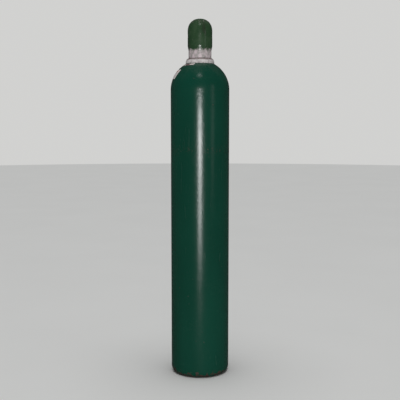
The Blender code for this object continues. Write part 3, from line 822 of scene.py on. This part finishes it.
turned_brass = metal_finish(
    "turned_brass", BRASS_CLEAN, BRASS_TARNISHED, roughness=0.2,
    size=80.0, cover=0.5, grain=(120.0, 120.0, 4200.0), depth=0.00002,
)
plug = relief_plug()
plug.data.materials.append(turned_brass)
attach(plug, "cylinder")
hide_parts("safety_plug")
soft_copper = metal_finish(
    "soft_copper", COPPER_CLEAN, COPPER_DULL, roughness=0.3,
    size=90.0, cover=0.6, grain=(700.0, 700.0, 700.0), depth=0.00003,
)
for name in ("burst_disc", "disc_gasket"):
    refinish(name, soft_copper)


# ---------------------------------------------------------------- seat plug and packing
# The screwed lower plug with its nylon seat, and the washer, PTFE packing and gland ring round the stem.
# They are shut inside the body, so their plain solids stay, with the finish of the real stock.

NYLON_WHITE = (0.78, 0.77, 0.72, 1.0)
NYLON_YELLOWED = (0.66, 0.64, 0.58, 1.0)


def nylon_finish():
    made, tree, shader = new_finish("white_nylon", 0.42)
    clouds = noise(tree, in_place(tree), 180.0, 3.0)
    colour = mixed(tree, clouds, NYLON_WHITE, NYLON_YELLOWED)
    feed(tree, shader, Base_Color=colour, Normal=bumped(tree, clouds, 0.00003))
    return made


inner_finishes = (
    ("seat_plug", turned_brass),
    ("seat_insert", nylon_finish()),
    ("thrust_washer", turned_brass),
    ("stem_packing", ptfe),
    ("gland_ring", turned_brass),
)
for name, finish in inner_finishes:
    refinish(name, finish)


# ---------------------------------------------------------------- bonnet nut
# A brass nut turned from hexagon bar. It screws down over the body's spigot and holds the packing and
# the gland ring round the stem.


def bonnet_nut():
    top, hex_top, bottom, inner_top = 68.0, 65.4, 52.3, 62.7
    stem_hole, spigot_hole = 4.9, 11.4
    upper = [(stem_hole, inner_top, 0.0), (stem_hole, top, 0.3), (10.2, top, 0.6)]
    upper += [(11.4, hex_top + 0.2, 0.5), (13.0, hex_top, 0.0)]
    bore = [(14.0, bottom, 0.0), (spigot_hole, bottom, 0.4), (spigot_hole, inner_top, 0.2)]
    bore += [(stem_hole, inner_top, 0.3), (stem_hole, top, 0.0)]
    profile = filleted(upper)[1:] + hex_rows(15.7, bottom, hex_top) + filleted(bore)[1:-1]
    nut = lathe("bonnet_hex_nut", profile, 96, hexagonal(27.0, bottom, hex_top, 12.9), AT_NECK)
    nut.data.materials.append(turned_brass)
    return nut


bonnet = bonnet_nut()
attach(bonnet, "cylinder")
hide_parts("bonnet_nut")


# ---------------------------------------------------------------- stem
# A brass stem that turns but doesn't rise: its collar is held under the packing, its tang drives the
# seat plug, its square takes the handwheel and its threaded end the nut.


def bar(name, width, depth, low, high, at):
    """A square or flat bar with its long edges broken."""
    made = bmesh.new()
    size = Matrix.Diagonal((width * MM, depth * MM, (high - low) * MM, 1.0))
    middle = Matrix.Translation((0.0, 0.0, (low + high) / 2 * MM))
    bmesh.ops.create_cube(made, size=1.0, matrix=middle @ size)
    edges = [e for e in made.edges if abs(e.verts[0].co.z - e.verts[1].co.z) > 1e-5]
    bmesh.ops.bevel(made, geom=edges, offset=0.35 * MM, segments=2, profile=0.5, affect="EDGES")
    bmesh.ops.transform(made, matrix=at, verts=made.verts)
    return finish_mesh(name, made)


STEM_TOP = 95.0
TURNED_45 = AT_NECK @ Matrix.Rotation(math.pi / 4, 4, "Z")


def valve_stem():
    thread_top = filleted([(0.0, STEM_TOP, 0.0), (2.9, STEM_TOP, 0.5), (2.9, STEM_TOP - 1.5, 0.0)])[:-1]
    profile = thread_top + straight((2.9, 94.2), (2.9, 80.0), 96)
    shank = [(2.9, 79.6, 0.0), (2.9, 69.2, 0.0), (4.5, 69.2, 0.4), (4.5, 53.5, 0.2)]
    profile += filleted([*shank, (7.2, 53.5, 0.3), (7.2, 50.8, 0.0)]) + [(6.9, 50.5), (0.0, 50.5)]
    stem = lathe("valve_stem", profile, 48, screw_thread(80.2, 94.4, 1.0, 0.42, 2.7, 3.1), AT_NECK)
    square = bar("square", 6.36, 6.36, 68.2, 79.0, TURNED_45)
    tang = bar("tang", 11.0, 2.6, 40.0, 51.5, AT_NECK)
    combined(stem, "UNION", square, tang)
    stem.data.materials.append(turned_brass)
    return stem


stem = valve_stem()
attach(stem, "stem")
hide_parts("upper_stem")


# ---------------------------------------------------------------- handwheel
# A pressure-cast aluminium wheel with a lobed, ribbed rim for a gloved hand, a thin web with windows,
# and a hub with a recess for the spring.

WHEEL_RADIUS = 31.9
WHEEL_LOBES = 5
WHEEL_RIBS = 70
WINDOW_CIRCLE = 18.2
LOBE_START = 21.0
LOBE_END = 30.0
LOBE_DEPTH = 0.085  # as a part of the radius
RIB_START = 30.6
RIB_DEPTH = 0.42
ALUMINIUM_CLEAN = (0.60, 0.60, 0.61, 1.0)
ALUMINIUM_DULL = (0.36, 0.36, 0.37, 1.0)


def lobed(radius, height, turn):
    """Lets the wheel's rim swing in between the lobes, with fine ribs on its outer edge."""
    part = max(0.0, min(1.0, (radius - LOBE_START) / (LOBE_END - LOBE_START)))
    swing = part * part * (3 - 2 * part)
    lobe = 0.5 + 0.5 * math.cos(WHEEL_LOBES * turn)
    rim = max(0.0, min(1.0, radius - RIB_START))
    rib = 0.5 + 0.5 * math.cos(WHEEL_RIBS * turn)
    return radius * (1.0 - LOBE_DEPTH * swing * (1.0 - lobe)) - RIB_DEPTH * rim * (1.0 - rib)


def handwheel():
    upper = [(7.6, 86.0, 0.3), (9.5, 86.0, 0.7), (9.7, 81.6, 1.4), (24.8, 80.3, 1.8)]
    rim = arc((28.0, 79.5), (WHEEL_RADIUS - 28.0, 5.0), 128, -128, 22)
    under = [(24.8, 76.2, 1.8), (9.7, 75.6, 1.4), (9.5, 69.5, 0.7), (3.2, 69.5, 0.2)]
    hole = [(3.2, 78.5, 0.0), (7.6, 78.5, 0.3)]
    first = filleted([(7.6, 78.5, 0.0), *upper, (*rim[0], 0.0)])[1:-1]
    last = filleted([(*rim[-1], 0.0), *under, *hole, (7.6, 86.0, 0.0)])[1:-1]
    wheel = lathe("cast_handwheel", first + rim + last, 280, lobed, AT_NECK)
    tools = [bar("square_hole", 7.0, 7.0, 66.0, 79.2, TURNED_45)]
    window = [(0.0, 84.0), (6.6, 84.0), (6.6, 81.6), (5.4, 80.3), (5.4, 76.2), (6.6, 74.9)]
    window += [(6.6, 70.0), (0.0, 70.0)]
    reach = WINDOW_CIRCLE * MM
    for i in range(WHEEL_LOBES):
        turn = 2 * math.pi * i / WHEEL_LOBES
        across = Matrix.Translation((reach * math.cos(turn), reach * math.sin(turn), 0.0))
        tools.append(lathe(f"window_{i}", window, 40, at=AT_NECK @ across))
    return combined(wheel, "DIFFERENCE", *tools)


cast_aluminium = metal_finish(
    "cast_aluminium", ALUMINIUM_CLEAN, ALUMINIUM_DULL, roughness=0.4, metallic=0.4,
    size=45.0, cover=0.6, grain=(650.0, 650.0, 650.0), depth=0.00010,
)
wheel = handwheel()
wheel.data.materials.append(cast_aluminium)
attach(wheel, "stem")
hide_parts("handwheel")


# ---------------------------------------------------------------- spring, washer and nut
# A short coil of steel wire in the hub's recess keeps the wheel pushed down on its square. A pressed
# washer and a nut hold it on the stem's end, and all three are zinc plated.

ZINC_CLEAN = (0.62, 0.61, 0.58, 1.0)
ZINC_DULL = (0.36, 0.33, 0.28, 1.0)


def wheel_spring():
    """A steel wire coiled with its first and last turns closed, as a swept tube."""
    wire, mean_radius, low, high = 0.62, 5.8, 79.55, 85.45
    turns, steps_a_turn, sides = 4, 30, 12
    made = bmesh.new()
    count = turns * steps_a_turn
    slope = (high - low) / (2 * math.pi * mean_radius * turns)
    rings = []
    for k in range(count + 1):
        part = k / count
        eased = part - 0.055 * math.sin(2 * math.pi * part)
        turn = 2 * math.pi * k / steps_a_turn
        out = Vector((math.cos(turn), math.sin(turn), 0.0))
        centre = out * mean_radius + Vector((0.0, 0.0, low + (high - low) * eased))
        along = Vector((-math.sin(turn), math.cos(turn), slope)).normalized()
        up = out.cross(along)
        ring = []
        for i in range(sides):
            angle = 2 * math.pi * i / sides
            offset = (out * math.cos(angle) + up * math.sin(angle)) * wire
            ring.append(made.verts.new((centre + offset) * MM))
        rings.append(ring)
    for first, second in zip(rings, rings[1:]):
        for i in range(sides):
            j = (i + 1) % sides
            made.faces.new((first[i], first[j], second[j], second[i]))
    made.faces.new(rings[0])
    made.faces.new(rings[-1])
    bmesh.ops.transform(made, matrix=AT_NECK, verts=made.verts)
    return finish_mesh("coil_spring", made, sharp_degrees=50.0)


def wheel_nut():
    rows = hex_rows(5.8, 88.0, 93.0)
    bore = straight((3.15, 88.4), (3.15, 92.6), 34)
    profile = rows + [(3.5, 88.0), *bore, (3.5, 93.0)]
    hexed = hexagonal(10.0, 88.0, 93.0, 4.8)
    threaded = screw_thread(88.2, 92.8, 1.0, -0.2, 3.0, 3.3)

    def shape(radius, height, turn):
        return threaded(hexed(radius, height, turn), height, turn)

    return lathe("plated_nut", profile, 72, shape, AT_NECK)


plated_steel = metal_finish(
    "plated_steel", ZINC_CLEAN, ZINC_DULL, roughness=0.24, metallic=0.7,
    size=120.0, cover=0.5, grain=(500.0, 500.0, 1500.0), depth=0.00003,
)
washer_profile = filleted([(3.3, 87.7, 0.15), (8.6, 87.5, 0.3), (8.6, 86.5, 0.3), (3.3, 86.5, 0.15)])
wheel_hardware = (
    (wheel_spring(), "wheel_spring"),
    (lathe("pressed_washer", washer_profile, 72, at=AT_NECK), "spring_washer"),
    (wheel_nut(), "wheel_nut"),
)
for piece, solid in wheel_hardware:
    piece.data.materials.append(plated_steel)
    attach(piece, "stem")
    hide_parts(solid)


# ---------------------------------------------------------------- protection cap
# A drawn steel cap that screws on the neck ring over the valve, with a vent hole on each side for gas
# and for a bar to turn it. Olive green enamel, worn to pale primer round the skirt where it is gripped.

CAP_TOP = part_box("protection_cap")[1].z / MM
CAP_RADIUS = 49.0
CAP_SKIRT_RADIUS = 45.5
CAP_WALL = 4.7
DOME_RISE = 51.0
DOME_POWER = 2.25
VENT_HEIGHT = 1362.0
KNOCK_HEIGHT = 1418.0
PAINT_EDGE = 1318.5  # top of the bare skirt, which the noise lowers by up to PAINT_RAGGEDNESS
PAINT_EDGE_WIDTH = 12.0
PAINT_RAGGEDNESS = 34.0
CAP_GREEN = (0.023, 0.064, 0.026, 1.0)
CAP_GREEN_FADED = (0.040, 0.083, 0.040, 1.0)
CAP_GRIME = (0.030, 0.027, 0.022, 1.0)
SKIRT_PALE = (0.69, 0.58, 0.61, 1.0)
SKIRT_WORN = (0.36, 0.34, 0.325, 1.0)
CHIP_GREY = (0.20, 0.19, 0.17, 1.0)
RUB_GREY = (0.22, 0.23, 0.20, 1.0)


def dome(radius, rise, top, steps):
    """Points of a full dome from its top to its widest ring."""
    points = [(0.0, top)]
    for i in range(1, steps + 1):
        turn = math.pi / 2 * i / steps
        across = radius * math.sin(turn) ** (2 / DOME_POWER)
        up = rise * max(0.0, math.cos(turn)) ** (2 / DOME_POWER)
        points.append((across, top - rise + up))
    return points


def swept_in(radius_above, radius_below, above, below, steps):
    """The smooth S by which the cap narrows to its skirt."""
    points = []
    for i in range(steps + 1):
        part = i / steps
        eased = part * part * (3 - 2 * part)
        radius = radius_above + (radius_below - radius_above) * eased
        points.append((radius, above + (below - above) * part))
    return points


def protection_cap():
    inner = CAP_RADIUS - CAP_WALL
    crest = RING_THREAD_RADIUS + 0.5
    profile = dome(CAP_RADIUS, DOME_RISE, CAP_TOP, 40)
    profile += straight((CAP_RADIUS, CAP_TOP - DOME_RISE), (CAP_RADIUS, 1328.0), 8)[1:]
    profile += swept_in(CAP_RADIUS, CAP_SKIRT_RADIUS, CAP_SEAT + 50.0, CAP_SEAT + 27.0, 18)
    rim = [(*profile[-1], 0.0), (CAP_SKIRT_RADIUS, CAP_SEAT, 1.3), (crest + 1.0, CAP_SEAT, 0.9)]
    rim.append((crest, CAP_SEAT + 1.6, 0.4))
    profile += filleted([*rim, (crest, CAP_SEAT + 3.0, 0.0)])[1:-1]
    profile += straight((crest, CAP_SEAT + 2.4), (crest, CAP_SEAT + 20.0), 60)
    profile += swept_in(crest, inner, CAP_SEAT + 22.0, CAP_SEAT + 49.0, 10)
    profile += dome(inner, DOME_RISE - CAP_WALL, CAP_TOP - CAP_WALL, 24)[::-1]
    span = (CAP_SEAT + 2.0, CAP_SEAT + 20.0)
    cut_thread = screw_thread(*span, THREAD_PITCH, -1.1, crest - 0.4, crest + 0.4)
    cap = lathe("cap_shell", profile, 144, cut_thread)
    flare = [(0.0, 60.0, 0.0), (13.0, 60.0, 0.0), (13.0, 50.4, 0.0), (9.5, 47.2, 2.2), (9.5, 20.0, 0.0)]
    vent = filleted(flare, 6) + [(0.0, 20.0)]
    tools = []
    for side in (1, -1):
        turn = Matrix.Rotation(side * math.pi / 2, 4, "Y")
        place = Matrix.Translation((0.0, 0.0, VENT_HEIGHT * MM)) @ turn
        tools.append(lathe(f"vent_{side + 1}", vent, 48, at=place))
    return combined(cap, "DIFFERENCE", *tools)


def cap_enamel():
    made, tree, shader = new_finish("cap_enamel", 0.3)
    where = in_place(tree)
    height = axes_of(tree, where)["Z"]
    fading = ramped(tree, noise(tree, where, 28.0, 4.0), 0.38, 0.72)
    green = mixed(tree, fading, CAP_GREEN, CAP_GREEN_FADED)
    darkened = ramped(tree, noise(tree, stretched(tree, where, (26.0, 26.0, 9.0)), 1.0, 3.0), 0.5, 0.72)
    green = mixed(tree, sums(tree, "MULTIPLY", darkened, 0.6), green, CAP_GRIME)
    mottle = noise(tree, stretched(tree, where, (75.0, 75.0, 50.0)), 1.0, 5.0, 0.62)
    tone = ramped(tree, mottle, 0.38, 0.62)
    pale = mixed(tree, tone, SKIRT_PALE, SKIRT_WORN)
    lowered = noise(tree, where, 65.0, 6.0, 0.7)
    ragged_edge = sums(tree, "MULTIPLY_ADD", lowered, PAINT_RAGGEDNESS * MM, height)
    still_green = ramped(tree, ragged_edge, PAINT_EDGE * MM, (PAINT_EDGE + PAINT_EDGE_WIDTH) * MM)
    gripped = sums(tree, "SUBTRACT", 1.0, still_green)
    colour = mixed(tree, gripped, green, pale)
    knocks = effect(tree, worn_band, Middle=KNOCK_HEIGHT * MM, Spread=0.02, Breakup=190.0, Cover=0.30)
    by_vents = effect(tree, worn_band, Middle=VENT_HEIGHT * MM, Spread=0.016, Breakup=150.0, Cover=0.12)
    chips = sums(tree, "MAXIMUM", knocks, by_vents)
    colour = mixed(tree, chips, colour, CHIP_GREY)
    marks = effect(tree, scuffs, Size=32.0, Along=0.25, Cover=0.30)
    colour = mixed(tree, marks, colour, RUB_GREY)
    dust = effect(tree, settled_dust, Size=40.0, Cover=0.12)
    colour = mixed(tree, dust, colour, DUST_GREY)
    rough = sums(tree, "MULTIPLY_ADD", noise(tree, where, 50.0, 3.0), 0.10, 0.16)
    rough = sums(tree, "MULTIPLY_ADD", gripped, 0.05, rough)
    over_skirt = ramped(tree, height, (CAP_SEAT + 22.0) * MM, (CAP_SEAT + 28.0) * MM)
    skirt = sums(tree, "SUBTRACT", 1.0, over_skirt)
    rough = sums(tree, "MULTIPLY_ADD", skirt, 0.22, rough)
    rough = sums(tree, "MULTIPLY_ADD", marks, 0.4, rough)
    rough = sums(tree, "MULTIPLY_ADD", dust, 1.2, rough, clamp=True)
    peel = bumped(tree, effect(tree, orange_peel, Size=320.0), 0.00014)
    bare = sums(tree, "MAXIMUM", chips, gripped)
    worn = bumped(tree, sums(tree, "SUBTRACT", 1.0, bare), 0.00015, peel)
    feed(tree, shader, Base_Color=colour, Roughness=rough, Normal=worn)
    return made


cap = protection_cap()
cap.data.materials.append(cap_enamel())
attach(cap, "cap")
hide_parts("protection_cap")


# ---------------------------------------------------------------- studio
# A plain pale floor under soft lights: two wide ones by the camera, which draw the long glint down the
# enamel and are kept off the floor, a small one above, a weak one on the right and an even overhead one.
# The camera stands about 3 m in front, at chest height and a little to the left.

FLOOR_PALE = (0.85, 0.85, 0.84, 1.0)
FLOOR_CLOUDED = (0.81, 0.81, 0.80, 1.0)
BACKDROP = (0.64, 0.64, 0.63, 1.0)
ROOM_LIGHT = (0.13, 0.135, 0.135, 1.0)
ROOM_MIRRORED = (0.045, 0.046, 0.046, 1.0)


def stage_floor():
    made = bmesh.new()
    bmesh.ops.create_circle(made, cap_ends=True, segments=128, radius=14.0)
    floor = finish_mesh("studio_floor", made)
    finish, tree, shader = new_finish("floor_paint", 0.75)
    clouds = noise(tree, in_place(tree), 1.5, 3.0)
    feed(tree, shader, Base_Color=mixed(tree, clouds, FLOOR_PALE, FLOOR_CLOUDED))
    floor.data.materials.append(finish)
    floor.visible_glossy = False
    return floor


def area_light(name, place, target, size, watts, keep_off=None):
    """A rectangular light that leaves out the objects which the collection keep_off excludes."""
    light = bpy.data.lights.new(name, "AREA")
    light.shape = "RECTANGLE"
    light.size, light.size_y = size
    light.energy = watts
    made = bpy.data.objects.new(name, light)
    made.location = place
    made.rotation_euler = (Vector(place) - Vector(target)).to_track_quat("Z", "Y").to_euler()
    made.light_linking.receiver_collection = keep_off
    bpy.context.scene.collection.objects.link(made)


def studio_world():
    """Pale behind the object, and dim in what lights it and in what it reflects."""
    world = bpy.data.worlds.new("studio_world")
    world.use_nodes = True
    tree = world.node_tree
    background = tree.nodes["Background"]
    seen = node(tree, "ShaderNodeLightPath").outputs["Is Camera Ray"]
    mirrored = node(tree, "ShaderNodeLightPath").outputs["Is Glossy Ray"]
    lighting = mixed(tree, mirrored, ROOM_LIGHT, ROOM_MIRRORED)
    colour = mixed(tree, seen, lighting, BACKDROP)
    tree.links.new(colour, background.inputs["Color"])
    bpy.context.scene.world = world


off_the_floor = bpy.data.collections.new("off_the_floor")
off_the_floor.objects.link(stage_floor())
off_the_floor.collection_objects[0].light_linking.link_state = "EXCLUDE"
studio_world()
area_light("camera_light", (-0.24, -3.1, 0.93), (0.0, 0.0, 0.8), (0.68, 0.12), 18.5, off_the_floor)
area_light("low_light", (-0.24, -3.1, 0.45), (0.0, 0.0, 0.6), (0.68, 0.85), 20.0, off_the_floor)
area_light("top_light", (-0.2, -1.6, 3.6), (0.0, 0.0, 0.7), (0.5, 0.5), 3.0)
area_light("right_light", (2.3, -2.3, 1.3), (0.0, 0.0, 0.9), (0.5, 1.6), 1.6)
sky = bpy.data.lights.new("overhead_light", "SUN")
sky.angle = math.radians(50.0)
sky.energy = 1.7
overhead = bpy.data.objects.new("overhead_light", sky)
overhead.visible_glossy = False
bpy.context.scene.collection.objects.link(overhead)

camera = bpy.data.cameras.new("camera")
camera.lens = 67.0
camera.sensor_width = 36.0
viewer = bpy.data.objects.new("camera", camera)
viewer.location = (-0.229, -3.0, 1.041)
viewer.rotation_euler = (viewer.location - Vector((0.0, 0.0, 0.708))).to_track_quat("Z", "Y").to_euler()
bpy.context.scene.collection.objects.link(viewer)
bpy.context.scene.camera = viewer
bpy.context.scene.view_settings.view_transform = "Standard"
